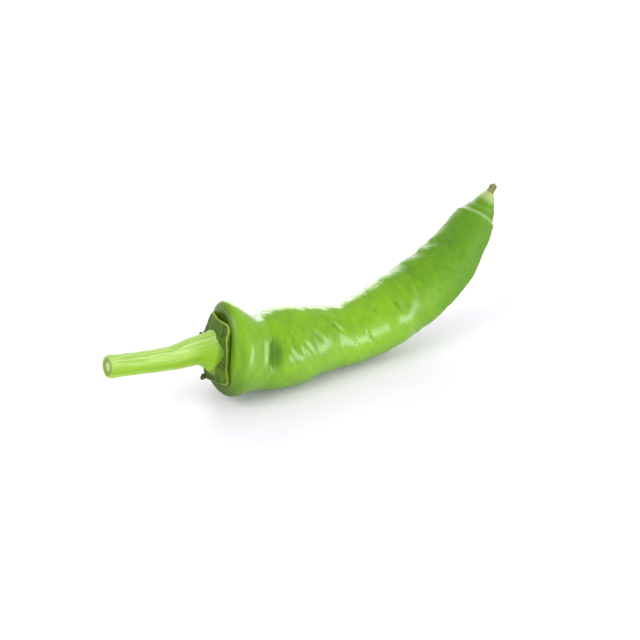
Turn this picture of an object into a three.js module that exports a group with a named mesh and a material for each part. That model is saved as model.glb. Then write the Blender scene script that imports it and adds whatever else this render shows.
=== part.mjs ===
// A long green chilli pepper as picked, lying on its belly with its tip in the air.
// Millimetres, +Z up. +X runs from the stem to the tip, and the origin is under the middle of the part.
// Four pieces: the pod, the calyx that caps it, the stem, and the dried style left at the tip.
import * as THREE from "three";

// ---------------------------------------------------------------- driving dimensions

const SHOULDER_RADIUS = 16.8; // the widest ring, close behind the calyx
const SHOULDER_LEAN = 3; // how far its top leans out over the calyx
const WAIST_RADIUS = 14.4; // the dip behind the shoulder
const BELLY_RADIUS = 15.2; // the widest part of the body
const BODY_RADIUS = 12.4; // the long even stretch
const LOBES = 3; // seed chambers, each of which swells the wall
const LOBE_DEPTH = 0.055; // swell of a chamber, as a share of the radius
const CALYX_RADIUS = 14.4; // to its corners
const CALYX_CORNERS = 5; // where the dried sepals stood
const CALYX_RIM = 1.5; // thickness at the edge
const CALYX_CROWN = 4.2; // height of its middle, where the stem stands
const STEM_FOOT_RADIUS = 7.6; // where the stem flares into the calyx
const STEM_RADIUS = 4.1; // at the cut
const STYLE_RADIUS = 1.3;
const STYLE_LENGTH = 2.6;
const GAP = 0.3; // between pieces that meet

const GREEN = 0x6fae1c;
const OLIVE = 0x5c7a1d;
const STEM_GREEN = 0x8fbf4a;
const BROWN = 0x8a7a4c;

// The pod's centre line, as [x, y, z] above the surface it lies on. It hangs in an upright plane,
// apart from the end at the calyx, which is turned aside a little.
const POD_LINE = [
  [3, 1.6, 18.3],
  [9, 0.5, 17],
  [18, 0, 14.2],
  [39, 0, 12.8],
  [61, 0, 11.1],
  [85, 0, 17.6],
  [106.4, 0, 28.7],
  [118.5, 0, 41.8],
  [128.5, 0, 55.4],
];

// Where the stem's centre line passes once it has left the calyx squarely.
const STEM_LINE = [
  [-14, 4.2, 19.4],
  [-27, 5.7, 20],
  [-40, 7, 21.4],
];

// ---------------------------------------------------------------- centre lines

const smoothLine = (points) =>
  new THREE.CatmullRomCurve3(points.map((p) => new THREE.Vector3(...p)), false, "centripetal");

const podLine = smoothLine(POD_LINE);
const podEnd = podLine.getLength();

const calyxMiddle = podLine.getPoint(0);
const stemStart = calyxMiddle.clone().addScaledVector(podLine.getTangent(0), -8);
const stemLine = smoothLine([calyxMiddle, stemStart, ...STEM_LINE]);

// ---------------------------------------------------------------- solids along a line

// A closed outline of [radius, distance along]: a straight line from the axis to the first point,
// a smooth one through all of them, and a straight one back to the axis.
function closedOutline(points, steps = 2) {
  const [first, ...others] = points.map(([radius, along]) => new THREE.Vector2(radius, along));
  const last = others.at(-1);
  const path = new THREE.Path().moveTo(0, first.y).lineTo(first.x, first.y);
  path.splineThru(others);
  if (last.x > 0) path.lineTo(0, last.y);
  return path.getPoints(steps);
}

// Turns the outline into a solid of revolution and bends its axis onto the line. shape(radius, along,
// angle) moves a point of a ring, with the angle counted from the side towards the top, and nothing
// goes below the surface that the pepper lies on. Past its two ends the line runs on straight.
function solidAlong(line, outline, around, shape = (radius, along) => ({ radius, along })) {
  const geometry = new THREE.LatheGeometry(outline, around);
  const position = geometry.getAttribute("position");
  const length = line.getLength();
  const up = new THREE.Vector3(0, 0, 1);
  const vertex = new THREE.Vector3();
  for (let i = 0; i < position.count; i++) {
    vertex.fromBufferAttribute(position, i);
    const angle = Math.atan2(vertex.x, vertex.z);
    const { radius, along } = shape(Math.hypot(vertex.x, vertex.z), vertex.y, angle);
    const share = THREE.MathUtils.clamp(along / length, 0, 1);
    const tangent = line.getTangentAt(share);
    const side = new THREE.Vector3().crossVectors(up, tangent).normalize();
    const top = new THREE.Vector3().crossVectors(tangent, side);
    vertex.copy(line.getPointAt(share));
    vertex.addScaledVector(tangent, along - share * length);
    vertex.addScaledVector(side, radius * Math.cos(angle));
    vertex.addScaledVector(top, radius * Math.sin(angle));
    position.setXYZ(i, vertex.x, vertex.y, Math.max(vertex.z, 0));
  }
  geometry.computeVertexNormals();
  return geometry;
}

function piece(name, geometry, color, roughness) {
  const material = new THREE.MeshStandardMaterial({ color, roughness, metalness: 0 });
  const mesh = new THREE.Mesh(geometry, material);
  mesh.name = name;
  return mesh;
}

// ---------------------------------------------------------------- pod

const podOutline = closedOutline([
  [12.6, 0],
  [15.2, 0.9],
  [16.5, 2.6],
  [SHOULDER_RADIUS, 5],
  [15.6, 9],
  [WAIST_RADIUS, 14],
  [14.8, 20],
  [BELLY_RADIUS, 28],
  [13.7, 38],
  [12.1, 49],
  [12.1, 61],
  [12.8, 73],
  [12.8, 86],
  [BODY_RADIUS, 99],
  [11.3, 110],
  [9.9, 120],
  [8, 129],
  [5.4, 136],
  [2.6, podEnd - 1.8],
  [0, podEnd],
], 3);

// Swellings and hollows of the wall: where they are, how far the wall moves, and how far they reach.
const degrees = THREE.MathUtils.degToRad;
const TOP_ANGLE = degrees(90);
const SWELLINGS = [
  { along: 2.5, angle: degrees(92), rise: 1.9, reach: 4.5, spread: degrees(38) },
  { along: 3, angle: degrees(200), rise: 0.5, reach: 5, spread: degrees(30) },
  { along: 12, angle: degrees(75), rise: -1.8, reach: 4.5, spread: degrees(40) },
  { along: 13, angle: degrees(165), rise: -1.2, reach: 5, spread: degrees(28) },
];

// A bump that falls off smoothly from 1 at its middle, by distance along the pod and angle round it.
function bump(along, angle, middle) {
  const turn = Math.atan2(Math.sin(angle - middle.angle), Math.cos(angle - middle.angle));
  return Math.exp(-(((along - middle.along) / middle.reach) ** 2) - (turn / middle.spread) ** 2);
}

// Three rounded lobes, one of them on top, so that the pod lies on the flat between the other two.
// The swellings and the lean of the shoulder fade towards the middle of the seat and the tip.
const lean = { along: 3, angle: degrees(85), reach: 6, spread: degrees(48) };
function podShape(radius, along, angle) {
  const depth = LOBE_DEPTH * (1 - THREE.MathUtils.smoothstep(along, 70, 140));
  const lobed = radius * (1 + depth * Math.cos(LOBES * (angle - TOP_ANGLE)));
  const swelling = SWELLINGS.reduce((sum, s) => sum + s.rise * bump(along, angle, s), 0);
  const fade = Math.min(1, radius / WAIST_RADIUS);
  return {
    radius: lobed + fade * swelling,
    along: along - SHOULDER_LEAN * THREE.MathUtils.smoothstep(radius, 13, 16) * bump(along, angle, lean),
  };
}

const pod = piece("pod", solidAlong(podLine, podOutline, 40, podShape), GREEN, 0.3);

// ---------------------------------------------------------------- calyx

const calyxOutline = closedOutline([
  [STEM_FOOT_RADIUS, -CALYX_CROWN],
  [11, -CALYX_RIM - 0.8],
  [CALYX_RADIUS - 0.5, -CALYX_RIM],
  [CALYX_RADIUS, -(CALYX_RIM + GAP) / 2],
  [CALYX_RADIUS - 0.5, -GAP],
]);

const CORNER_ANGLE = degrees(56);
function calyxShape(radius, along, angle) {
  const cornered = 1 - 0.09 * (1 - Math.cos(CALYX_CORNERS * (angle - CORNER_ANGLE)));
  const share = Math.min(1, radius / CALYX_RADIUS);
  return { radius: radius * THREE.MathUtils.lerp(1, cornered, share), along };
}

const calyx = piece("calyx", solidAlong(podLine, calyxOutline, 40, calyxShape), OLIVE, 0.75);

// ---------------------------------------------------------------- stem

const stemFoot = CALYX_CROWN + GAP;
const stemEnd = stemLine.getLength();
const stemOutline = closedOutline([
  [STEM_FOOT_RADIUS, stemFoot],
  [6.2, stemFoot + 2],
  [5, stemFoot + 5.5],
  [4.3, stemFoot + 12],
  [STEM_RADIUS, stemEnd - 12],
  [STEM_RADIUS, stemEnd - 0.6],
  [STEM_RADIUS - 0.5, stemEnd],
], 4);

const stem = piece("stem", solidAlong(stemLine, stemOutline, 24), STEM_GREEN, 0.6);

// ---------------------------------------------------------------- dried style

const styleStart = podEnd + GAP;
const styleEnd = styleStart + STYLE_LENGTH;
const styleOutline = closedOutline([
  [STYLE_RADIUS - 0.2, styleStart],
  [STYLE_RADIUS, styleStart + 0.8],
  [STYLE_RADIUS - 0.3, styleEnd - 0.6],
  [0, styleEnd],
]);

const style = piece("style_tip", solidAlong(podLine, styleOutline, 14), BROWN, 0.85);

// ---------------------------------------------------------------- the whole pepper

const pepper = new THREE.Group();
pepper.add(pod, calyx, stem, style);

const middle = new THREE.Box3().setFromObject(pepper).getCenter(new THREE.Vector3());
pepper.position.set(-middle.x, -middle.y, 0);

const part = new THREE.Group();
part.add(pepper);

export default part;
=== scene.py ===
# %% [markdown]
# # A long green chilli pepper
# The pepper is a hollow berry: a thin waxy wall around air, seeds and three ribs of pith. Its outside is four
# things: the pod, the calyx that capped the flower, the stem that carried it, and the dried style at the tip.
# The packed model fixes the place and the size of each. Everything here is drawn in metres in that same frame.

# %% Load the frame
import math

import bpy
import numpy as np
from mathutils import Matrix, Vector


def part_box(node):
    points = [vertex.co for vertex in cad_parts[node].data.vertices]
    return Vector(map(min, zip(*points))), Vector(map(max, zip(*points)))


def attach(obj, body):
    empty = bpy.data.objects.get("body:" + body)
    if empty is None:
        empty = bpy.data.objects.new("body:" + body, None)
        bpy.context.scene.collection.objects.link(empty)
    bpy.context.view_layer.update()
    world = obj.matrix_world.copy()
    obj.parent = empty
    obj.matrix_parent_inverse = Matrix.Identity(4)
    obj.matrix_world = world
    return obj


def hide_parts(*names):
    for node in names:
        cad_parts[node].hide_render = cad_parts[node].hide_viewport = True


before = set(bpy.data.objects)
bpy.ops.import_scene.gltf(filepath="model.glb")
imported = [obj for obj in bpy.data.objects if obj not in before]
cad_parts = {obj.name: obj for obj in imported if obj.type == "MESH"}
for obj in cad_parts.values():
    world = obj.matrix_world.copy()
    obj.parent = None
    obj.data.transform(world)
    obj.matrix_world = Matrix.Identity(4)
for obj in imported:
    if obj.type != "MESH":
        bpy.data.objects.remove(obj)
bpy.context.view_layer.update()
print("CAD nodes", sorted(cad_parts))

# %% [markdown]
# ## Smooth lines
# A fruit has no straight edges, so every outline is a smooth line through a few given points. A curve
# object could hold them, but a small formula gives the same line as plain numbers, which the later cells can
# bend, swell and dent.

# %% Lines through chosen points
MM = 0.001
UP = np.array([0.0, 0.0, 1.0])


def smooth_through(knots, values, at):
    """A cubic on each span between knots. It starts and ends on the values, and its slope at a knot is that
    of the parabola through the knot and its two neighbours, so the spans meet without a corner."""
    knots = np.asarray(knots, float)
    values = np.asarray(values, float)
    slopes = np.gradient(values, knots, axis=0)
    span = np.clip(np.searchsorted(knots, at, side="right") - 1, 0, len(knots) - 2)
    width = (knots[span + 1] - knots[span]).reshape(span.shape + (1,) * (values.ndim - 1))
    t = (np.asarray(at) - knots[span]).reshape(width.shape) / width
    start = values[span] * (2 * t**3 - 3 * t**2 + 1) + slopes[span] * width * (t**3 - 2 * t**2 + t)
    end = values[span + 1] * (3 * t**2 - 2 * t**3) + slopes[span + 1] * width * (t**3 - t**2)
    return start + end


def unit(vectors):
    """Each vector divided by its own length."""
    return vectors / np.linalg.norm(vectors, axis=-1, keepdims=True)


def run_through(points, count):
    """The smooth line through the points at evenly spaced shares of its length, counted along the chords."""
    points = np.asarray(points, float)
    chords = np.linalg.norm(np.diff(points, axis=0), axis=1)
    knots = np.concatenate([[0], np.cumsum(chords)])
    return smooth_through(knots, points, np.linspace(0, knots[-1], count))


print("an arch through three points has its top at", run_through([(0, 0), (1, 1), (2, 0)], 3)[1])

# %% [markdown]
# ## Rings on a line
# A pod, a stem and a dry tip are all thick lines, so each needs a line in space to hang its rings on. A Blender
# curve turns its rings as it bends. Here every ring keeps its side level and its top up, so an angle means the
# same side of the pepper from one end of the piece to the other.

# %% Centre lines
LINE_STEPS = 2000


class CentreLine:
    """A smooth line in space, measured by distance along it, that rings can be hung on."""

    def __init__(self, points):
        self.place = run_through(points, LINE_STEPS)
        steps = np.linalg.norm(np.diff(self.place, axis=0), axis=1)
        self.distance = np.concatenate([[0], np.cumsum(steps)])
        self.way = unit(np.gradient(self.place, self.distance, axis=0))
        self.length = self.distance[-1]

    def at(self, table, along):
        """The line's place or way at each distance, with each coordinate read off between table entries."""
        return np.stack([np.interp(along, self.distance, table[:, k]) for k in range(3)], axis=-1)

    def ring_points(self, along, radius, angle):
        """Each point is the line's place at its distance, plus the radius times the cosine of the angle to
        the side, plus the radius times its sine to the top. Past its ends the line runs on straight."""
        inside = np.clip(along, 0, self.length)
        way = unit(self.at(self.way, inside))
        side = unit(np.cross(UP, way))
        top = np.cross(way, side)
        place = self.at(self.place, inside) + way * (along - inside)[..., None]
        return place + radius[..., None] * (np.cos(angle)[..., None] * side + np.sin(angle)[..., None] * top)


print("a straight line ten long measures", round(CentreLine([(0, 0, 0), (10, 0, 0)]).length, 3))

# %% [markdown]
# ## From a grid of points to a closed mesh
# Every piece here is one skin wrapped round a line: rings of points from one end to the other, whose first and
# last rings shrink to a point. Blender could skin a curve with a bevel object, but then a ring could not be
# dented on one side only. So the points are worked out first, and the faces only say who is next to whom.

# %% Faces of a closed skin
def faces_of(rings, around):
    """The faces of a grid whose first and last rings are poles of one vertex: a fan of triangles, four-sided
    faces that join each point to the next one round and to the ring after, and a second fan. They close round
    the seam, and face outwards when the angle turns from side to top and the rings run with the line."""
    here = np.arange(around)
    after = np.roll(here, -1)
    low = 1 + np.arange(rings - 3)[:, None] * around
    quads = np.stack([low + here, low + after, low + around + after, low + around + here], axis=-1)
    final = 1 + (rings - 3) * around
    tip = final + around
    start_fan = np.stack([0 * here, 1 + after, 1 + here], axis=-1)
    end_fan = np.stack([final + here, final + after, tip + 0 * here], axis=-1)
    return start_fan.tolist() + quads.reshape(-1, 4).tolist() + end_fan.tolist()


print("a skin of 5 rings of 8 points has", len(faces_of(5, 8)), "faces")

# %% [markdown]
# ## What a mesh remembers
# A pattern that follows the skin needs to know where on the skin it is. A UV map has a seam where it is cut
# open. Stored values on the vertices have none, so each mesh keeps its place round and along the piece, and how
# deep, dull or dark the skin is there, for the materials to read.

# %% Closed skins
def grain_of(angle, along, radius):
    """A place on the skin that patterns can follow: the ring's circle, and the distance in its radii."""
    around = angle + 0 * along
    return np.stack([np.cos(around), np.sin(around), along / radius + 0 * around], axis=-1)


def closed_skin(name, points, grain, **values):
    """Makes an object from a grid of rings x around x 3 points in millimetres. The grain is a vector and the
    values are single numbers, all on the same grid, and are stored on the vertices."""

    def per_vertex(grid):
        """The grid as a list with one entry for each vertex, so each pole's ring gives only one."""
        inner = grid[1:-1].reshape((-1,) + grid.shape[2:])
        return np.concatenate([grid[:1, 0], inner, grid[-1:, 0]])

    mesh = bpy.data.meshes.new(name)
    mesh.from_pydata((per_vertex(points) * MM).tolist(), [], faces_of(*points.shape[:2]))
    mesh.polygons.foreach_set("use_smooth", np.ones(len(mesh.polygons), bool))
    stored = mesh.attributes.new("grain", "FLOAT_VECTOR", "POINT")
    stored.data.foreach_set("vector", per_vertex(grain).astype(np.float32).ravel())
    for key, grid in values.items():
        stored = mesh.attributes.new(key, "FLOAT", "POINT")
        stored.data.foreach_set("value", per_vertex(grid).astype(np.float32))
    mesh.validate()
    mesh.update()
    piece = bpy.data.objects.new(name, mesh)
    bpy.context.scene.collection.objects.link(piece)
    print(name, len(mesh.vertices), "vertices,", len(mesh.polygons), "faces")
    return piece


print("the grain at the side, one radius along, is", grain_of(0.0, 4.0, 4.0))

# %% [markdown]
# ## Riding on the model's body
# The CAD model keeps the plain solids that motion and collision are worked out with. A drawn piece hides its
# solid and moves with the same body. Nothing on a pepper moves by itself, so there is one body for all of it.

# %% Taking a solid's place
def stands_for(piece, node, material):
    """The piece wears the material, rides on the one body and hides the CAD node."""
    piece.data.materials.append(material)
    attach(piece, "root")
    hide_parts(node)
    print(piece.name, "stands for", node, "and wears", material.name)


# %% [markdown]
# ## Bumps
# The wall of a pepper swells between the ribs inside and sinks where they hold it. Sculpting could push those
# places in and out by hand. A bell curve at a named place does the same, and can be moved by one number.

# %% Bumps on a skin
def degrees(angle):
    """Degrees as radians."""
    return math.radians(angle)


def turn_between(angle, middle):
    """The shortest turn from one angle to the other, between minus and plus half a turn."""
    return np.arctan2(np.sin(angle - middle), np.cos(angle - middle))


def bump(along, angle, middle, reach):
    """One at the middle, given as distance and angle, and falling off as a bell curve with the distance
    over its reach along the line and the turn over its reach round it."""
    turn = turn_between(angle, degrees(middle[1]))
    return np.exp(-(((along - middle[0]) / reach[0]) ** 2) - (turn / degrees(reach[1])) ** 2)


def rise_between(low, high, x):
    """Zero below low, one above high, and 3t²-2t³ between, which has no corner at either end."""
    t = np.clip((x - low) / (high - low), 0, 1)
    return t * t * (3 - 2 * t)


print("a bump is", bump(5, 0, (5, 0), (1, 30)), "at its middle, and a rise", rise_between(0, 1, 0.5), "halfway")

# %% [markdown]
# ## Ripples
# After picking, the wall dries a little and puckers in many small waves. A noise texture could move the skin,
# but it would have to be cut somewhere round the pod. Waves with a whole number of turns meet themselves, and
# a seed gives each its size and direction, the same ones every time.

# %% Waves on a skin
def waves(along, angle, seed, count, length, most_turns):
    """A sum of cosines over the skin. Each has a wavelength along the pod near the length given, a whole
    number of waves round it, so that it meets itself at the seam, and a phase of its own."""
    chance = np.random.default_rng(seed)
    total = np.zeros(np.broadcast(along, angle).shape)
    for _ in range(count):
        per_mm = 2 * np.pi / (length * chance.uniform(0.65, 1.5))
        turns = chance.integers(-most_turns, most_turns + 1)
        total += np.cos(per_mm * along + turns * angle + chance.uniform(0, 2 * np.pi))
    return total / math.sqrt(count / 2)


print("one wave at the start of a skin:", waves(0.0, 0.0, 1, 1, 10, 3).round(3))

# %% [markdown]
# ## The pod's line and outline
# The pod lies on its belly with its tip in the air. Its centre line sags from the calyx to the belly and then
# climbs. Its outline bulges at the shoulder, narrows to a waist and tapers to the tip. A lathe would turn the
# outline round a straight axis, and this pod is bent, so the outline is carried along the line instead.

# %% The pod's lines, in millimetres
POD_LINE = [
    (3, 1.6, 18.3),
    (9, 0.5, 17),
    (18, 0, 14.2),
    (39, 0, 12.8),
    (61, 0, 11.1),
    (85, 0, 17.6),
    (106.4, 0, 28.7),
    (118.5, 0, 41.8),
    (128.5, 0, 55.4),
]
pod_line = CentreLine(POD_LINE)
pod_end = pod_line.length

SEAT_RADIUS = 12.6
WAIST_RADIUS = 14.4
POD_OUTLINE = [
    (SEAT_RADIUS, 0),
    (15.2, 0.9),
    (16.5, 2.6),
    (16.8, 5),
    (15.6, 9),
    (WAIST_RADIUS, 14),
    (14.8, 20),
    (15.2, 28),
    (13.7, 38),
    (12.1, 49),
    (12.1, 61),
    (12.8, 73),
    (12.8, 86),
    (12.4, 99),
    (11.3, 110),
    (9.9, 120),
    (8, 129),
    (5.4, 136),
    (2.6, pod_end - 1.8),
    (0, pod_end),
]
print("the pod's line is", round(pod_end, 1), "mm long")

# %% [markdown]
# ## The pod's section
# Three seed chambers make the section a rounded triangle with a flat side down, which is why the pod does not
# roll over. The shoulder swells round the calyx, and the waist behind it has a deep pinch on one side. One wave
# round the section gives the triangle, and a few bumps give the rest.

# %% The pod's broad shape
LOBES = 3
LOBE_DEPTH = 0.055
LOBES_FADE = (70, 140)
TOP = degrees(90)
SHOULDER_LEAN = 3
# Each swelling is its middle as (distance, degrees), its reach as (distance, degrees), and its rise.
SWELLINGS = [
    ((2.5, 92), (4.5, 38), 1.9),
    ((3, 200), (5, 30), 0.5),
    ((10.6, 75), (4.2, 40), -1.8),
    ((13, 165), (5, 28), -1.2),
    ((29, 218), (5, 24), -0.55),
]


def pod_shape(radius, along, angle):
    """The section is a circle whose radius grows and shrinks three times round, less and less towards the
    tip. The swellings are added to it, and the top of the shoulder leans out over the calyx."""
    depth = LOBE_DEPTH * (1 - rise_between(*LOBES_FADE, along))
    shaped = radius * (1 + depth * np.cos(LOBES * (angle - TOP)))
    fade = np.minimum(1, radius / WAIST_RADIUS)
    for middle, reach, rise in SWELLINGS:
        shaped = shaped + fade * rise * bump(along, angle, middle, reach)
    lean = SHOULDER_LEAN * rise_between(11, 15.5, radius) * bump(along, angle, (3, 85), (6, 48))
    return shaped, along - lean


def full_turn(count):
    """Evenly spaced angles round a ring, as one row of a grid. The last stops short of the first."""
    return np.linspace(0, 2 * np.pi, count, endpoint=False)[None, :]


seat_radii = np.linspace(0, SEAT_RADIUS, 12, endpoint=False)
outline = np.concatenate([np.stack([seat_radii, 0 * seat_radii], axis=-1), run_through(POD_OUTLINE, 420)])
pod_radius, pod_along = outline[:, :1], outline[:, 1:]
pod_angle = full_turn(216)
broad_radius, broad_along = pod_shape(pod_radius, pod_along, pod_angle)
print("the pod's skin lies up to", broad_radius.max().round(1), "mm from its line")

# %% [markdown]
# ## Into the model's frame
# The packed pod is the same shape, moved so that the whole part's origin lies under its middle. The drawn pod
# needs the same move. Typing it in would go wrong as soon as the CAD changed, so it is measured: the middle of
# the packed pod's box, less the middle of the drawn one's.

# %% The move to the frame
broad = pod_line.ring_points(broad_along, broad_radius, pod_angle + 0 * broad_along).reshape(-1, 3)
pod_low, pod_high = (np.array(corner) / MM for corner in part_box("pod"))
to_frame = (pod_low + pod_high - broad.min(axis=0) - broad.max(axis=0)) / 2 * (1, 1, 0)
print("the lines move by", to_frame.round(2), "mm to their place in the frame")

# %% [markdown]
# ## Creases
# Light catches a real pepper's skin in broken streaks, because short creases run across it, slanted. Each
# crease is a narrow dent with a lip on one side. A bump map would draw them flat, and they show at the outline,
# so they are in the mesh. The deep ones are placed one by one, and faint ones are strewn by a seeded draw.

# %% Creases in the skin
# The deep ones, each as (distance, degrees, slant, half its length, half its width, depth).
DEEP_CREASES = [
    (24.8, 154, 0.4, 3.8, 0.8, 0.6),
    (30.5, 160, 0.5, 3.2, 0.8, 0.28),
    (36.0, 147, 0.6, 3.0, 0.8, 0.3),
    (44.2, 131, 0.8, 3.6, 0.65, 0.55),
    (43.6, 122, 0.35, 3.0, 0.5, 0.4),
    (52.5, 160, 0.3, 3.0, 0.6, 0.3),
    (60.2, 168, 0.2, 2.6, 0.6, 0.32),
    (67.2, 126, 0.15, 3.0, 0.55, 0.42),
    (77.0, 144, 0.15, 2.4, 0.5, 0.36),
    (33.5, 122, 0.45, 3.4, 1.0, 0.3),
    (76.9, 136, 0.3, 2.6, 0.9, 0.34),
    (84.0, 131, 0.35, 2.8, 0.9, 0.28),
    (91.4, 124, 0.3, 3.0, 1.0, 0.34),
    (101.0, 120, 0.35, 2.8, 0.9, 0.3),
    (104.2, 142, 0.25, 2.6, 1.0, 0.26),
]
STREWN_CREASES = 110
CREASE_SEED = 11
CREASE_RADIUS = 13  # turns a crease's angle into millimetres round the pod
LIP_PLACE, LIP_WIDTH, LIP_HEIGHT = 2, 1.5, 0.5  # in half widths of the dent, and as a share of its depth


def strewn_creases(chance):
    """Rows like those of the deep creases, drawn at random over the whole pod."""
    low = np.array([17, 0, 0.05, 1.8, 0.5, 0.05])
    high = np.array([120, 360, 0.6, 4.6, 1.1, 0.15])
    return chance.uniform(low, high, (STREWN_CREASES, 6))


def creases(along, angle):
    """A sum of narrow dents. Each is a bell curve across its line and a wider one along it, and its lip is
    a second, lower bell curve that stands up beside it."""
    total = np.zeros(np.broadcast(along, angle).shape)
    rows = DEEP_CREASES + strewn_creases(np.random.default_rng(CREASE_SEED)).tolist()
    for middle, turn, slant, half_length, half_width, depth in rows:
        forward = along - middle
        sideways = CREASE_RADIUS * turn_between(angle, degrees(turn))
        across = forward * math.cos(slant) - sideways * math.sin(slant)
        length = sideways * math.cos(slant) + forward * math.sin(slant)
        fall = np.exp(-((length / half_length) ** 2))
        dent = np.exp(-((across / half_width) ** 2))
        lip = np.exp(-(((across - LIP_PLACE * half_width) / (LIP_WIDTH * half_width)) ** 2))
        total += depth * fall * (LIP_HEIGHT * lip - dent)
    return total


crease_rise = creases(pod_along, pod_angle)
print("the creases move the skin from", crease_rise.min().round(2), "to", crease_rise.max().round(2), "mm")

# %% [markdown]
# ## Folds at the shoulder and the waist
# The skin is tucked in beside the calyx, rises in crests behind it, and is pinched at the waist with a lip in
# front. These are wider than creases and run round the pod, so each is a bump, short along it and long round.

# %% Folds
# Each fold is its middle as (distance, degrees), its reach as (distance, degrees), and its rise.
FOLDS = [
    ((3.4, 160), (1.7, 26), -0.5),
    ((6.4, 152), (1.8, 24), 0.35),
    ((9.9, 154), (1.4, 30), -0.35),
    ((12.5, 156), (0.9, 34), 0.4),
    ((14.6, 158), (1.1, 26), -1.0),
    ((16.6, 158), (2.3, 24), -1.3),
    ((22, 150), (2.4, 20), 0.3),
    ((10, 98), (1.5, 16), -0.5),
]


def folds(along, angle):
    """The sum of the folds, each a bell curve along the pod and round it."""
    return sum(height * bump(along, angle, middle, reach) for middle, reach, height in FOLDS)


# The skin narrows to nothing at both poles, and what lies on it fades with it.
FADE_RADIUS = 5
fade = np.minimum(1, pod_radius / FADE_RADIUS)
pinch = (crease_rise + folds(pod_along, pod_angle)) * fade
print("with the folds they move it from", pinch.min().round(2), "to", pinch.max().round(2), "mm")

# %% [markdown]
# ## Puckers between the creases
# Three sizes of ripple lie over each other: fine ones, soft dimples a pea apart, and slow swells. The belly is
# stretched smooth, so the two finer sizes calm down there, and at the shoulder and the tip as well.

# %% Puckers
# Each size is (height in mm, seed, how many waves, their length in mm, the most turns round the pod).
FINE = (0.022, 3, 26, 3.6, 5)
DIMPLES = (0.07, 4, 30, 8, 7)
SWELLS = (0.13, 5, 18, 17, 4)
DEEPER_TIPWARDS = 0.6
BELLY_CALM = 0.35


def ripple_of(along, angle, height, *kind):
    """The height times a sum of waves of that kind."""
    return height * waves(along, angle, *kind)


def ripples(along, angle):
    """The fine ripples and the dimples, both times a rise onto the body and a rise from belly to top, and
    the swells times a rise behind the shoulder. The dimples deepen past the middle."""
    on_body = rise_between(16, 34, along) * (1 - rise_between(112, 128, along))
    on_top = BELLY_CALM + (1 - BELLY_CALM) * rise_between(0.1, 0.7, np.sin(angle))
    dimples = ripple_of(along, angle, *DIMPLES) * (1 + DEEPER_TIPWARDS * rise_between(66, 90, along))
    swells = rise_between(8, 30, along) * ripple_of(along, angle, *SWELLS)
    return on_body * on_top * (ripple_of(along, angle, *FINE) + dimples) + swells


ripple = fade * ripples(pod_along, pod_angle)
print("the ripples are up to", np.abs(ripple).max().round(2), "mm high")

# %% [markdown]
# ## Rings at the tip
# Near the point the skin steps in over a ring, painted pale as a highlight, where the flower once sat, and
# again over a fainter one.
# Neither runs straight round. Each is a bell curve on a distance that sways with the cosine of the angle.

# %% Rings at the tip
# Each is (distance, sway, degrees of the furthest sway, half its width, share of the line, step, step's end).
TIP_RINGS = [(129.9, 2.2, 145, 0.6, 1.0, 0.55, 0.9), (135, -0.8, 65, 0.5, 0.3, 0.25, 0.8)]
STEP_START = -0.2
RING_HEIGHT = 0.34
ring_line, ring_step = 0, 0
for middle, sway, turn, half_width, share, drop, step_end in TIP_RINGS:
    behind = pod_along - middle - sway * np.cos(pod_angle - degrees(turn))
    ring_line = ring_line + share * np.exp(-((behind / half_width) ** 2))
    ring_step = ring_step + drop * rise_between(STEP_START, step_end, behind)
print("the skin steps in by", round(float(ring_step.max()), 2), "mm over", len(TIP_RINGS), "rings")

# %% [markdown]
# ## The pod's surface
# The creases, ripples and rings are added to the broad radius before the rings are hung on the line, so they
# push straight out of the skin. Then whatever would lie below the table is pressed flat on it.

# %% The pod's points
fine_shape = pinch + ripple + fade * (RING_HEIGHT * ring_line - ring_step)
pod_points = pod_line.ring_points(broad_along, broad_radius + fine_shape, pod_angle + 0 * broad_along)
pod_points = pod_points + to_frame
on_table = pod_points[..., 2] <= 0
pod_points[..., 2] = np.maximum(pod_points[..., 2], 0)
print(on_table.sum(), "of the pod's", on_table.size, "points rest on the table")

# %% [markdown]
# ## Where the pod's skin changes
# The skin is not the same all over. It is darkened with painted shade under the cap, on the underside and
# towards the tip, sleek along the top and duller towards the tip, and painted pale as a highlight on the tip's
# rings and at the very point. Each of these is a number from 0 to 1 on the mesh. The creases are kept as their
# height in millimetres, so that painted shade can darken the skin where it dips.

# %% The pod
# Painted shade under the cap, on the underside and towards the tip, and painted highlights on the rings and at
# the very point, are kept on the mesh for the skin's colour.
shade_below = bump(pod_along, pod_angle, (0, 250), (6, 62))
shade_at_seat = 0.4 * np.exp(-((pod_along / 1.8) ** 2)) + 0.5 * bump(pod_along, pod_angle, (0, 95), (2.8, 45))
tip_side = rise_between(-0.35, 0.5, np.cos(pod_angle - degrees(195)))
# Painted shade on the underside reaches higher towards the tip.
underside_shade_rise = 0.4 * rise_between(80, 105, pod_along)
pod = closed_skin(
    "pod_skin",
    pod_points,
    grain_of(pod_angle, pod_along, WAIST_RADIUS),
    pinch=pinch + ripple,
    ring_line=ring_line,
    under_cap=np.maximum(shade_below, shade_at_seat),
    dull=rise_between(78, 98, pod_along) * (0.35 + 0.65 * tip_side),
    tipwards=rise_between(55, 122, pod_along) + 0 * pod_angle,
    belly=rise_between(0.1, 0.75, underside_shade_rise - np.sin(pod_angle)),
    sleek=rise_between(0.55, 0.95, np.sin(pod_angle)) * (1 - rise_between(72, 92, pod_along)),
    # Painted highlight: the very point is painted pale.
    point=rise_between(pod_end - 6.5, pod_end - 3, pod_along) + 0 * pod_angle,
)

# %% [markdown]
# ## Materials as sums
# A procedural material is arithmetic on patterns. Written as nodes it is hard to read, so one small class lets
# Python write the nodes: adding two values adds a Math node. Colours are mixed, never added, in Mix nodes.

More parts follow.
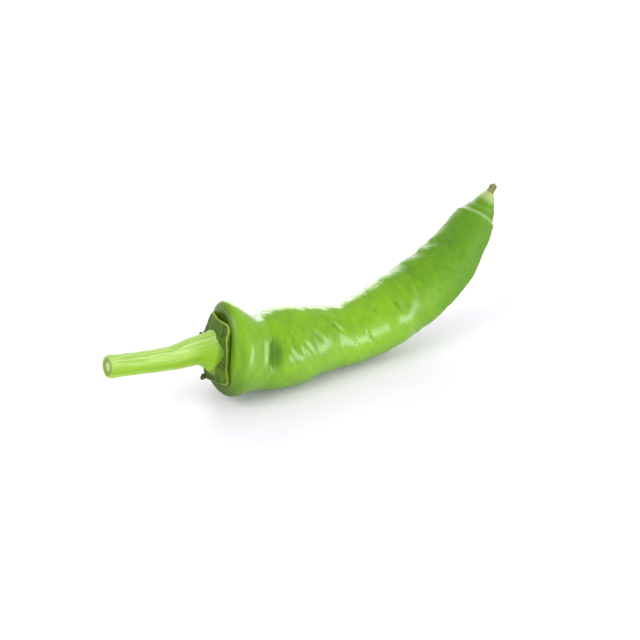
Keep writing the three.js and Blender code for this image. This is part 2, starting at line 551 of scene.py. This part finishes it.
# %% Sockets that can be added and multiplied
class Value:
    """An output socket that takes part in Python sums."""

    def __init__(self, skin, socket):
        self.skin = skin
        self.socket = socket

    def sum_of(self, operation, first, second):
        """A Math node that joins two numbers or sockets by the operation."""
        return self.skin.add("Math", {"operation": operation}, {0: first, 1: second})

    def __add__(self, other):
        return self.sum_of("ADD", self, other)

    def __sub__(self, other):
        return self.sum_of("SUBTRACT", self, other)

    def __rsub__(self, other):
        return self.sum_of("SUBTRACT", other, self)

    def __mul__(self, other):
        return self.sum_of("MULTIPLY", self, other)

    __radd__ = __add__
    __rmul__ = __mul__


print("a socket can be added to, subtracted from and multiplied by sockets and numbers")

# %% [markdown]
# ## One way to add any node
# Every node has a type, some settings and some sockets. One method can add any of them, and short names for the
# few patterns that return again and again, such as noise and a smooth step, keep the materials easy to read.

# %% A material under construction
class Skin:
    """A material under construction, with one method that adds any node to it."""

    def __init__(self, name):
        self.material = bpy.data.materials.new(name)
        self.material.use_nodes = True
        self.tree = self.material.node_tree
        self.tree.nodes.clear()

    def add(self, kind, settings=None, inputs=None, output=0):
        """Adds a node. Its settings come first, then the values or links of its sockets."""
        node = self.tree.nodes.new("ShaderNode" + kind)
        for key, value in (settings or {}).items():
            setattr(node, key, value)
        for key, value in (inputs or {}).items():
            if isinstance(value, Value):
                self.tree.links.new(value.socket, node.inputs[key])
            else:
                node.inputs[key].default_value = value
        return Value(self, node.outputs[output]) if node.outputs else None

    def noise(self, place, scale, detail, roughness=0.5):
        """Smooth noise from about 0 to 1, at a number of lumps to each unit of the place."""
        sizes = {"Vector": place, "Scale": scale, "Detail": detail, "Roughness": roughness}
        return self.add("TexNoise", {"noise_dimensions": "3D"}, sizes)

    def stored(self, name, output=2):
        """What the mesh stores on its vertices: a number by default, or a vector from output 1."""
        return self.add("Attribute", {"attribute_name": name}, output=output)

    def between(self, value, low, high):
        """The value carried smoothly from 0 at low to 1 at high, and held there beyond them."""
        ends = {"Value": value, "From Min": low, "From Max": high}
        return self.add("MapRange", {"interpolation_type": "SMOOTHSTEP"}, ends)

    def mix(self, share, first, second):
        """A colour between two colours."""
        return self.add("Mix", {"data_type": "RGBA"}, {0: share, 6: first, 7: second}, output=2)

    def stretched(self, place, scale):
        """The place multiplied along each axis."""
        return self.add("VectorMath", {"operation": "MULTIPLY"}, {0: place, 1: scale})

    def bump(self, height, strength, distance):
        """Shades the surface as if the height, times the distance in metres, were part of it."""
        return self.add("Bump", None, {"Strength": strength, "Distance": distance, "Height": height})

    def finish(self, **inputs):
        """Adds the surface shader, with its sockets named as keywords, and returns the material."""
        sockets = {key.replace("_", " "): value for key, value in inputs.items()}
        shader = self.add("BsdfPrincipled", None, sockets)
        self.add("OutputMaterial", None, {"Surface": shader})
        print(self.material.name, "has", len(self.tree.nodes), "nodes")
        return self.material


print("a skin can use", [name for name in vars(Skin) if not name.startswith("_")])

# %% [markdown]
# ## Colours
# A colour given here is in screen values, and light adds up in linear ones. Blender's colour picker changes
# one into the other unseen. A script has to do it by the same rule: a straight foot, then a power of 2.4.

# %% Screen colours made linear
def colour(red, green, blue):
    """A colour given as screen values from 0 to 255, made linear as Blender's sockets want it."""
    screen = np.array([red, green, blue]) / 255
    linear = np.where(screen <= 0.04045, screen / 12.92, ((screen + 0.055) / 1.055) ** 2.4)
    return (*linear.tolist(), 1.0)


print("half bright on a screen is", round(colour(128, 128, 128)[0], 3), "in linear light")

# %% [markdown]
# ## The pod's finish
# The green comes from the flesh under a clear waxy layer. So it is one green with slow drifts towards yellow,
# darkened with painted shade in each crease, under the cap, on the underside and towards the tip, and painted
# pale as highlights on the tip's rings and point, under a smooth coat that dulls near the tip. A bump carries
# what
# is finer than the mesh: a grain of cells and small puckers, both drawn out across the pod.

# %% Pod material
# The shares of painted shade in the creases, on the underside, towards the tip and under the cap, and of
# painted highlight on the rings and at the point.
CREASE_SHADE_SHARE = 0.7
BELLY_SHADE_SHARE = 0.5
TIP_SHADE_SHARE = 0.8
RING_HIGHLIGHT_SHARE = 0.36
CAP_SHADE_SHARE = 0.95
POINT_HIGHLIGHT_SHARE = 0.6


def pod_material():
    """Drift picks between two greens. Then each stored value or pattern, times its share, mixes one more
    colour in. Roughness and coat are sums of the same values."""
    skin = Skin("waxy_green_skin")
    place = skin.add("TexCoord", output=3)
    grain = skin.stored("grain", output=1)
    drift = skin.between(skin.noise(place, 34, 2), 0.35, 0.68)
    mottle = skin.between(skin.noise(skin.stretched(grain, (1, 1, 1.6)), 4, 3, 0.5), 0.3, 0.75)
    green = skin.mix(drift, colour(107, 158, 5), colour(125, 176, 9))
    # Painted shade: the skin turns a deeper green towards the tip.
    tipwards = skin.stored("tipwards")
    green = skin.mix(tipwards * TIP_SHADE_SHARE, green, colour(76, 130, 4))
    green = skin.mix(mottle * (0.38 - 0.23 * tipwards), green, colour(142, 191, 15))
    # Painted shade: the underside turns a deeper green.
    green = skin.mix(skin.stored("belly") * BELLY_SHADE_SHARE, green, colour(80, 128, 3))
    # Painted shade: the skin darkens where the creases dip.
    crease_shade = skin.between(skin.stored("pinch") * -1, 0.0, 1.0)
    green = skin.mix(crease_shade * CREASE_SHADE_SHARE, green, colour(64, 112, 3))
    # Painted highlight: the rings at the tip turn pale.
    green = skin.mix(skin.stored("ring_line") * RING_HIGHLIGHT_SHARE, green, colour(206, 224, 160))
    # Painted shade: the skin darkens to olive under the cap, where it is also rougher.
    under_cap = skin.stored("under_cap")
    green = skin.mix(under_cap * CAP_SHADE_SHARE, green, colour(58, 84, 6))
    # Painted highlight: the very point turns pale.
    green = skin.mix(skin.stored("point") * POINT_HIGHLIGHT_SHARE, green, colour(196, 210, 150))
    cells = skin.noise(skin.stretched(grain, (1, 1, 2.2)), 20, 2, 0.5)
    puckers = skin.noise(skin.stretched(grain, (0.8, 0.8, 2.4)), 4.5, 2, 0.5)
    dull = skin.stored("dull")
    rough = 0.3 + 0.05 * mottle + 0.3 * dull + 0.3 * under_cap - 0.13 * skin.stored("sleek")
    bare = skin.between(dull * 2 + under_cap, 0.0, 1.0)
    return skin.finish(
        Base_Color=green,
        Roughness=rough,
        IOR=1.4,
        Coat_Weight=0.25 - 0.25 * bare,
        Coat_Roughness=0.14,
        Subsurface_Weight=0.1,
        Subsurface_Radius=(0.8, 1.0, 0.2),
        Subsurface_Scale=0.002,
        Normal=skin.bump(cells * 0.1 + puckers, 0.25, 0.0004),
    )


stands_for(pod, "pod", pod_material())

# %% [markdown]
# ## The calyx's outline
# The calyx is the cup of leaves that held the flower. On a grown pod it is a flat five-cornered cap, dull and
# tough, with a pale rim turned up all round. It could be cut from a disc, but the rim follows the corners, so
# the cap is drawn as rings that are round in the middle and cornered at the edge.

# %% Calyx corners
# Each corner is (degrees from the side, distance from the middle).
CALYX_CORNERS = [(3, 14.4), (52, 15.3), (122, 15.7), (208, 16.6), (292, 14.2)]


def cornered(angle, corners):
    """The distance to a straight-sided outline: one over it is a mix of one over the two corners' distances,
    weighted by the sine of the turn to the other corner, which is the polar form of a straight line."""
    turns = np.array([degrees(turn) for turn, _ in corners] + [degrees(corners[0][0] + 360)])
    reaches = np.array([reach for _, reach in corners] + [corners[0][1]])
    wrapped = turns[0] + np.mod(angle - turns[0], 2 * np.pi)
    side = np.clip(np.searchsorted(turns, wrapped, side="right") - 1, 0, len(corners) - 1)
    to_next = np.sin(turns[side + 1] - wrapped) / reaches[side]
    from_last = np.sin(wrapped - turns[side]) / reaches[side + 1]
    return np.sin(turns[side + 1] - turns[side]) / (to_next + from_last)


# The corners are rounded by a running average of the outline, weighted towards its middle.
ROUND_OVER = 8
weights = np.hanning(2 * ROUND_OVER + 1)
calyx_angle = full_turn(240)
sharp = cornered(calyx_angle, CALYX_CORNERS)[0]
wrapped_ring = np.concatenate([sharp[-ROUND_OVER:], sharp, sharp[:ROUND_OVER]])
corner_ring = np.convolve(wrapped_ring, weights / weights.sum(), mode="valid")[None, :]
print("the cap reaches from", corner_ring.min().round(1), "to", corner_ring.max().round(1), "mm out")

# %% [markdown]
# ## The calyx's section
# Cut through the middle, the cap is a hill where the stem stands, a trough round it and a rim that turns up and
# rolls under. Its section is the same all round when it is measured in shares of the way to the edge.

# %% Calyx profile
# From the middle outwards, each ring is (share of the way to the edge, height above the seat).
CALYX_TOP = [
    (0, 4.0),
    (0.4, 3.9),
    (0.55, 3.2),
    (0.68, 2.2),
    (0.8, 1.5),
    (0.9, 1.3),
    (0.96, 1.75),
    (0.99, 1.6),
    (1, 1.1),
]
CALYX_UNDER = [(1, 1.1), (0.985, 0.5), (0.95, 0.1), (0.8, -0.2), (0, -0.2)]
MIDDLE_RADIUS = 13.8  # the cap's middle is round, as if its edge were a circle of this radius
calyx_profile = np.concatenate([run_through(CALYX_TOP, 90)[:-1], run_through(CALYX_UNDER, 24)])
calyx_share, calyx_height = calyx_profile[:, :1], calyx_profile[:, 1:]
cornering = rise_between(0.2, 0.9, calyx_share)
calyx_radius = calyx_share * (corner_ring * cornering + MIDDLE_RADIUS * (1 - cornering))
print("the cap is", round(float(np.ptp(calyx_height)), 1), "mm deep in", len(calyx_profile), "rings")

# %% [markdown]
# ## The cap on the shoulder
# The cap is tough but not stiff: its edge drapes over the shoulder and lifts a little on top. Fibres run out
# across it and it dries into lumps. All of these move the rings along the pod's line, some up and some down.

# %% Calyx shape
# How far the cap's edge hangs down the shoulder, by its distance from the line.
DRAPE_RADII = [SEAT_RADIUS, 15.2, 16.5, 17]
DRAPE = [0, 0.9, 2.2, 3.2]
FIBRES, FIBRE_HEIGHT = 31, 0.04
CAP_LUMPS = (0.16, 21, 20, 3.0, 9)  # in the order of the puckers' sizes
LUMP_RADIUS = 8
TOP_LIFT = 0.9
RIM_LOSS_BELOW = 0.85


def facing(angle, middle, reach):
    """One at the middle angle, falling off round the ring as a bell curve. Both are in degrees."""
    return np.exp(-((turn_between(angle, degrees(middle)) / degrees(reach)) ** 2))


on_face = rise_between(0.66, 0.8, calyx_share) * rise_between(0.05, 0.6, calyx_height)
fibres = np.cos(FIBRES * calyx_angle + 2 * np.cos(3 * calyx_angle)) * FIBRE_HEIGHT
lumps = ripple_of(LUMP_RADIUS * calyx_share, calyx_angle, *CAP_LUMPS)
drape = np.interp(calyx_radius, DRAPE_RADII, DRAPE)
lift = TOP_LIFT * calyx_share**2 * facing(calyx_angle, 85, 45)
calyx_along = drape - calyx_height - lift - on_face * (fibres + lumps)
calyx_points = pod_line.ring_points(calyx_along, calyx_radius, calyx_angle + 0 * calyx_along) + to_frame
# The pale rim fades out on the cap's lower side.
rim_band = np.exp(-(((calyx_share - 0.975) / 0.02) ** 2)) * rise_between(0.8, 1.5, calyx_height)
rim = rim_band * (1 - RIM_LOSS_BELOW * facing(calyx_angle, 255, 50))
# The rings run from the stem's side round the edge to the seat, which is the way of the line.
calyx = closed_skin("calyx_cap", calyx_points, grain_of(calyx_angle, calyx_share, 1.0), rim=rim)

# %% [markdown]
# ## The calyx's finish
# The cap is olive and fibrous and paler on its rim. The fibres run outwards, so the
# pattern follows the ring's circle and not its distance from the middle.

# %% Calyx material
def calyx_material():
    """Blotches pick between two olives, streaks mix in a lighter one, and the rim a pale one."""
    skin = Skin("rough_olive_calyx")
    place = skin.add("TexCoord", output=3)
    grain = skin.stored("grain", output=1)
    blotch = skin.between(skin.noise(place, 260, 4, 0.6), 0.35, 0.7)
    streak = skin.between(skin.noise(skin.stretched(grain, (1, 1, 0.5)), 11, 4, 0.6), 0.35, 0.7)
    green = skin.mix(blotch, colour(48, 75, 3), colour(80, 112, 9))
    green = skin.mix(streak * 0.45, green, colour(106, 140, 18))
    green = skin.mix(skin.stored("rim") * 0.85, green, colour(158, 190, 76))
    fuzz = skin.noise(place, 900, 3, 0.6)
    return skin.finish(
        Base_Color=green,
        Roughness=0.5 + 0.2 * blotch,
        Specular_IOR_Level=0.25,
        Normal=skin.bump(fuzz * 0.5 + streak * 0.6 + blotch * 0.5, 0.6, 0.0005),
    )


stands_for(calyx, "calyx", calyx_material())

# %% [markdown]
# ## The stem's line and outline
# The stalk leaves the cap along the pod's own line and then bends up and aside. It widens like a trumpet where
# it meets the cap, and its far end is cut square. A curve with a bevel would give a plain tube, so the stem is
# rings on a line again.

# %% The stem's lines, in millimetres
STEM_LINE = [(-14, 4.1, 19.3), (-27, 5.7, 20), (-40, 7, 21.4)]
STRAIGHT_START = 8
CUT_RADIUS = 3.9
calyx_middle = pod_line.place[0]
stem_line = CentreLine([calyx_middle, calyx_middle - STRAIGHT_START * pod_line.way[0], *STEM_LINE])
stem_end = stem_line.length
STEM_OUTLINE = [
    (9.2, 1.3),
    (8.2, 2.7),
    (6.8, 4.9),
    (5.5, 8.0),
    (4.95, 12.5),
    (4.5, 18),
    (4.1, stem_end - 14),
    (4.1, stem_end - 4),
    (4.1, stem_end - 0.5),
    (CUT_RADIUS, stem_end),
]
foot_radii = np.linspace(0, STEM_OUTLINE[0][0], 6, endpoint=False)
cut_radii = np.linspace(CUT_RADIUS, 0, 22)[1:]
stem_outline = np.concatenate([
    np.stack([foot_radii, 0 * foot_radii + STEM_OUTLINE[0][1]], axis=-1),
    run_through(STEM_OUTLINE, 170),
    np.stack([cut_radii, 0 * cut_radii + stem_end], axis=-1),
])
stem_radius, stem_along = stem_outline[:, :1], stem_outline[:, 1:]
print("the stem's line is", round(stem_end, 1), "mm long")

# %% [markdown]
# ## The stem's ribs
# Strings run through the stalk, and it dries between them, so it is faintly ribbed. The ribs stand out most at
# its foot. Three waves round it with 5, 9 and 14 turns never repeat in step, so no two ribs look alike.

# %% Ribs on the stem
# Each wave is (height, turns, phase), with the height as a share of the rib.
RIB_WAVES = [(0.5, 9, 0.4), (0.3, 14, 2), (0.3, 5, 1)]
RIB_DEPTH, RIB_DEPTH_AT_FOOT = 0.012, 0.02
STEM_LUMPS = (0.03, 31, 14, 9, 5)
stem_angle = full_turn(144)
ribs = sum(height * np.cos(turns * stem_angle + phase) for height, turns, phase in RIB_WAVES)
at_foot = 1 - rise_between(4, 16, stem_along)
round_edge = 1 - rise_between(5, 7.5, stem_radius)
shaped_stem = stem_radius * (1 + (RIB_DEPTH + RIB_DEPTH_AT_FOOT * at_foot) * ribs * round_edge)
shaped_stem = shaped_stem + ripple_of(stem_along, stem_angle, *STEM_LUMPS) * np.minimum(1, stem_radius)
print("the ribs' waves add up to between", ribs.min().round(2), "and", ribs.max().round(2))

# %% [markdown]
# ## The stem's cut end
# The knife leaves the end a little aslant. Then the pith dries and sinks, and the ring of tougher strings stays
# up round it. The sinking is a parabola on the distance from the middle, and the strings are a bell curve.

# %% The cut, and the stem
DISH_DEPTH = 0.35
STRING_RING, STRING_WIDTH, STRING_HEIGHT = 0.8, 0.12, 0.12  # the first two in shares of the cut's radius
CUT_SLOPE, CUT_SLOPE_TURN = 0.12, 200
on_cut = rise_between(-0.2, 0.1, stem_along - stem_end) * np.ones_like(stem_angle)
inwards = np.clip(stem_radius / CUT_RADIUS, 0, 1)
strings = STRING_HEIGHT * np.exp(-(((inwards - STRING_RING) / STRING_WIDTH) ** 2))
dish = on_cut * (DISH_DEPTH * (1 - inwards**2) - strings)
slope = on_cut * stem_radius * CUT_SLOPE * np.cos(stem_angle - degrees(CUT_SLOPE_TURN))
stem_points = stem_line.ring_points(stem_along - dish + slope, shaped_stem, stem_angle + 0 * stem_along)
stem = closed_skin(
    "stem_stalk",
    stem_points + to_frame,
    grain_of(stem_angle, stem_along, 4.0),
    cut=on_cut,
    inwards=inwards + 0 * stem_angle,
    foot=at_foot + 0 * stem_angle,
    # The foot's end darkens against the cap, partly as a blend into the cap's olive and partly as painted
    # shade; painted shade runs along the lower side and a painted highlight along the top.
    join=1 - rise_between(2.4, 4.2, stem_along) + 0 * stem_angle,
    flank=facing(stem_angle, 350, 20) + 0 * stem_along,
    ridge=facing(stem_angle, 58, 26) + 0 * stem_along,
)

# %% [markdown]
# ## The stem's finish
# Streaks run the length of the stalk, so its noise is squeezed round the ring and drawn out along it. The cut
# is coloured by the distance from its middle: pale pith, a dark ring of strings, and a yellow-green edge.

# %% Stem material
def stem_material():
    """Streaks pick between two light greens, and the foot mixes in a fuller green. Painted shade darkens the
    lower side, a painted highlight lays pale streaks along the top, and the end of the foot darkens against the
    cap, partly as a blend into the cap's olive and partly as painted shade. The cut's colours go by the
    distance from its middle, and the stored cut picks them."""
    skin = Skin("ribbed_light_stem")
    grain = skin.stored("grain", output=1)
    streak = skin.between(skin.noise(skin.stretched(grain, (1, 1, 0.07)), 5.5, 4, 0.6), 0.32, 0.7)
    thread = skin.noise(skin.stretched(grain, (1, 1, 0.05)), 17, 2, 0.5)
    green = skin.mix(streak, colour(146, 190, 62), colour(176, 212, 104))
    # Painted shade: a deeper green along the stalk's lower side.
    green = skin.mix(skin.stored("flank") * 0.9, green, colour(132, 178, 20))
    green = skin.mix(skin.stored("foot") * 0.75, green, colour(138, 188, 20))
    # Painted highlight: pale streaks along the top of the stalk.
    green = skin.mix(skin.stored("ridge") * streak * 0.7, green, colour(206, 230, 152))
    # The foot's end turns olive: partly a blend into the cap's colour, partly painted shade where the stem
    # meets the cap.
    green = skin.mix(skin.stored("join") * 0.75, green, colour(88, 122, 14))
    inwards = skin.stored("inwards")
    pith = skin.mix(skin.between(inwards, 0.3, 0.55), colour(188, 204, 140), colour(112, 134, 48))
    pith = skin.mix(skin.between(inwards, 0.78, 0.95), pith, colour(178, 202, 92))
    speckle = skin.noise(grain, 9, 3, 0.6)
    pith = skin.mix(skin.between(speckle, 0.5, 0.75) * 0.4, pith, colour(96, 112, 44))
    whole = skin.mix(skin.stored("cut"), green, pith)
    return skin.finish(
        Base_Color=whole,
        Roughness=0.5 + 0.15 * streak,
        Specular_IOR_Level=0.3,
        Subsurface_Weight=0.1,
        Subsurface_Radius=(0.8, 1.0, 0.3),
        Subsurface_Scale=0.002,
        Normal=skin.bump(thread + speckle * skin.stored("cut"), 0.4, 0.0004),
    )


stands_for(stem, "stem", stem_material())

# %% [markdown]
# ## The dry tips
# Two things on a pepper are dead and brown: the stump of the flower's style at the point of the pod, and the
# tips of the calyx's leaves. All are short shrivelled cones, so one function makes them along a bent line.

# %% Shrivelled cones
CONE_RINGS, CONE_AROUND = 34, 40
FLUTES, FLUTE_DEPTH = 5, 0.12
SHRIVEL_DEPTH = 0.07


def dry_cone(name, line, outline, seed):
    """Rings on a line. Their radii are the outline's, times one plus a wave of five flutes round them and a
    sum of smaller waves round and along them."""
    profile = run_through(outline, CONE_RINGS)
    radius, along = profile[:, :1], profile[:, 1:]
    angle = full_turn(CONE_AROUND)
    flutes = FLUTE_DEPTH * np.cos(FLUTES * angle + seed)
    shrivel = SHRIVEL_DEPTH * waves(along, angle, seed, 10, 1.6, 6)
    points = line.ring_points(along + 0 * angle, radius * (1 + flutes + shrivel), angle + 0 * along) + to_frame
    return closed_skin(name, points, grain_of(angle, along, 1.0))


print("a dry cone has", CONE_RINGS, "rings of", CONE_AROUND)

# %% [markdown]
# ## Dry finishes
# Dead tissue has no wax and no shine. It is one brown streaked with a lighter one along the cone, and the same
# streaks stand up a little. The style and the leaves' tips wear the same finish in two pairs of browns.

# %% Dry materials
def dry_material(name, first, second):
    """Streaks along the cone pick between the two colours and raise the bump."""
    skin = Skin(name)
    grain = skin.stored("grain", output=1)
    streak = skin.between(skin.noise(skin.stretched(grain, (1, 1, 0.3)), 3, 4, 0.6), 0.3, 0.7)
    brown = skin.mix(streak, first, second)
    return skin.finish(Base_Color=brown, Roughness=0.75, Normal=skin.bump(streak, 0.5, 0.0003))


stub = dry_material("dry_brown_style", colour(98, 98, 42), colour(152, 156, 98))
dark_tip = dry_material("dry_dark_sepal", colour(60, 62, 20), colour(104, 112, 44))

# %% [markdown]
# ## The style
# The style led the pollen down to what became the pod. It dries on the point as a short stub, thick for its
# length and bent over. Its foot is sunk into the pod, so that no gap shows where the skin curves in round it.

# %% Style at the tip of the pod
STYLE_SINK = 1.2
way = pod_line.way[-1]
style_foot = pod_line.place[-1] - STYLE_SINK * way
style_line = CentreLine([style_foot, style_foot + 2 * way, style_foot + 4 * way + np.array([1.2, 0, 0])])
STYLE_OUTLINE = [(0, 0), (1.5, 0.2), (1.4, 1.2), (1.35, 2.2), (1.35, 2.9), (0.95, 3.5), (0, 3.6)]
style = dry_cone("style_stump", style_line, STYLE_OUTLINE, 3)
stands_for(style, "style_tip", stub)

# %% [markdown]
# ## The leaves' tips
# Each corner of the calyx was the tip of a small leaf. Two of the five are still there, curled up and dark.
# They have no solid of their own in the CAD model, so they only ride with the rest.

# %% Dried tips of the leaves
# Each tip's corner is (degrees, distance from the middle, size).
DRY_CORNERS = [(3, 14.4, 0.75), (292, 14.2, 1.15)]
TIP_OUTLINE = np.array([(0, 0), (0.9, 0.3), (0.8, 1.1), (0.5, 1.9), (0, 2.2)])
# Three points of the tip's line: outwards, up off the cap, and then the curl that grows with its size.
TIP_STEPS = np.array([-1.2, 0.2, 1.1])
TIP_RISE = np.array([-1.6, -1.9, -2.2])
TIP_CURL = np.array([0, 0.2, 0.9])
for count, (turn, reach, size) in enumerate(DRY_CORNERS, start=1):
    outwards = pod_line.ring_points(TIP_RISE, reach + size * TIP_STEPS, np.full(3, degrees(turn)))
    bent = outwards - np.outer(TIP_CURL * size, pod_line.way[0])
    tip = dry_cone(f"sepal_tip_{count}", CentreLine(bent), TIP_OUTLINE * size, count)
    tip.data.materials.append(dark_tip)
    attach(tip, "root")

# %% [markdown]
# ## The table
# The pepper lies on a round white table. A square one would show its corners from some sides, and an endless
# one would turn grey far away. This one gives off a faint light of its own, which keeps the shadow under the
# pepper pale, as light from all over a white room does.

# %% The table
FLOOR_RADIUS = 0.95
FLOOR_DROP = 0.0003


def lay_floor(radius):
    """A plain round top under the pepper, just low enough not to touch it."""
    turns = full_turn(96)[0]
    corners = np.stack([radius * np.cos(turns), radius * np.sin(turns), 0 * turns - FLOOR_DROP], axis=-1)
    mesh = bpy.data.meshes.new("floor")
    mesh.from_pydata(corners.tolist(), [], [tuple(range(len(turns)))])
    floor = bpy.data.objects.new("floor", mesh)
    bpy.context.scene.collection.objects.link(floor)
    white = Skin("white_table")
    mesh.materials.append(
        white.finish(
            Base_Color=colour(246, 242, 247),
            Roughness=0.6,
            Emission_Color=colour(214, 196, 246),
            Emission_Strength=0.11,
        )
    )


lay_floor(FLOOR_RADIUS)

# %% [markdown]
# ## The lights
# Waxy skin is a dull mirror, so what it shows is the shape of the lights. A wide panel behind draws the white
# line along the pepper's back, with a small bright window above it. A low wide panel in front lays the soft
# band on its side, and a wide key past the stem's end rounds it off. Each panel is turned to face the pepper.

# %% Lights
LIGHTS_AIM = Vector((0, 0, 0.02))
LIGHTS_DISTANCE = 1.0


def around(azimuth, elevation, distance):
    """A place given by its compass turn, its height above the horizon and its distance."""
    a, e = math.radians(azimuth), math.radians(elevation)
    out = math.cos(e) * distance
    return (math.sin(a) * out, -math.cos(a) * out, math.sin(e) * distance)


def soft_light(name, azimuth, elevation, width, height, glow):
    """A panel that faces the pepper. Its power is its glow times pi times its area."""
    data = bpy.data.lights.new(name, "AREA")
    data.shape = "RECTANGLE"
    data.size = width
    data.size_y = height
    data.energy = glow * math.pi * width * height
    light = bpy.data.objects.new(name, data)
    light.location = around(azimuth, elevation, LIGHTS_DISTANCE)
    light.rotation_euler = (LIGHTS_AIM - light.location).to_track_quat("-Z", "Y").to_euler()
    light.visible_camera = False
    bpy.context.scene.collection.objects.link(light)
    print(name, "gives", round(data.energy, 2), "watts")


soft_light("key", -80, 38, 0.6, 0.6, 3.5)
soft_light("back_panel", 149, 18, 0.72, 0.6, 2.8)
soft_light("window", 168, 43, 0.2, 0.22, 4.5)
soft_light("front_panel", 33, 8.5, 0.74, 0.29, 8.4)

# %% [markdown]
# ## The room
# A white room lights the pepper from all sides. Behind the table it should show as pure white, which would be
# too much light for the pepper. So the strength depends on who looks: the camera sees 1, and everything that
# the room lights gets less.

# %% The room
ROOM_GLOW = 0.73
world = bpy.data.worlds.new("white_room")
world.use_nodes = True
room = world.node_tree
background = room.nodes["Background"]
background.inputs["Color"].default_value = (1, 1, 1, 1)
ray = room.nodes.new("ShaderNodeLightPath")
strength = room.nodes.new("ShaderNodeMapRange")
strength.inputs["To Min"].default_value = ROOM_GLOW
room.links.new(ray.outputs["Is Camera Ray"], strength.inputs["Value"])
room.links.new(strength.outputs["Result"], background.inputs["Strength"])
bpy.context.scene.world = world
bpy.context.scene.view_settings.view_transform = "Standard"
print("the room glows at", ROOM_GLOW, "and shows as 1")

# %% [markdown]
# ## The camera
# A long lens from further away keeps the pepper's near and far ends in proportion. The camera stands on a
# circle round a point near the pepper's middle, at a compass turn and a height above the horizon.

# %% Camera
CAMERA_AZIMUTH = -34
CAMERA_ELEVATION = 25
CAMERA_DISTANCE = 0.6756
aim = Vector((0.0025, 0, 0.0196))
camera_data = bpy.data.cameras.new("camera")
camera_data.lens = 100
camera_data.sensor_width = 36
camera = bpy.data.objects.new("camera", camera_data)
camera.location = aim + Vector(around(CAMERA_AZIMUTH, CAMERA_ELEVATION, CAMERA_DISTANCE))
camera.rotation_euler = (aim - camera.location).to_track_quat("-Z", "Y").to_euler()
bpy.context.scene.collection.objects.link(camera)
bpy.context.scene.camera = camera
print("the camera stands at", [round(part, 3) for part in camera.location])
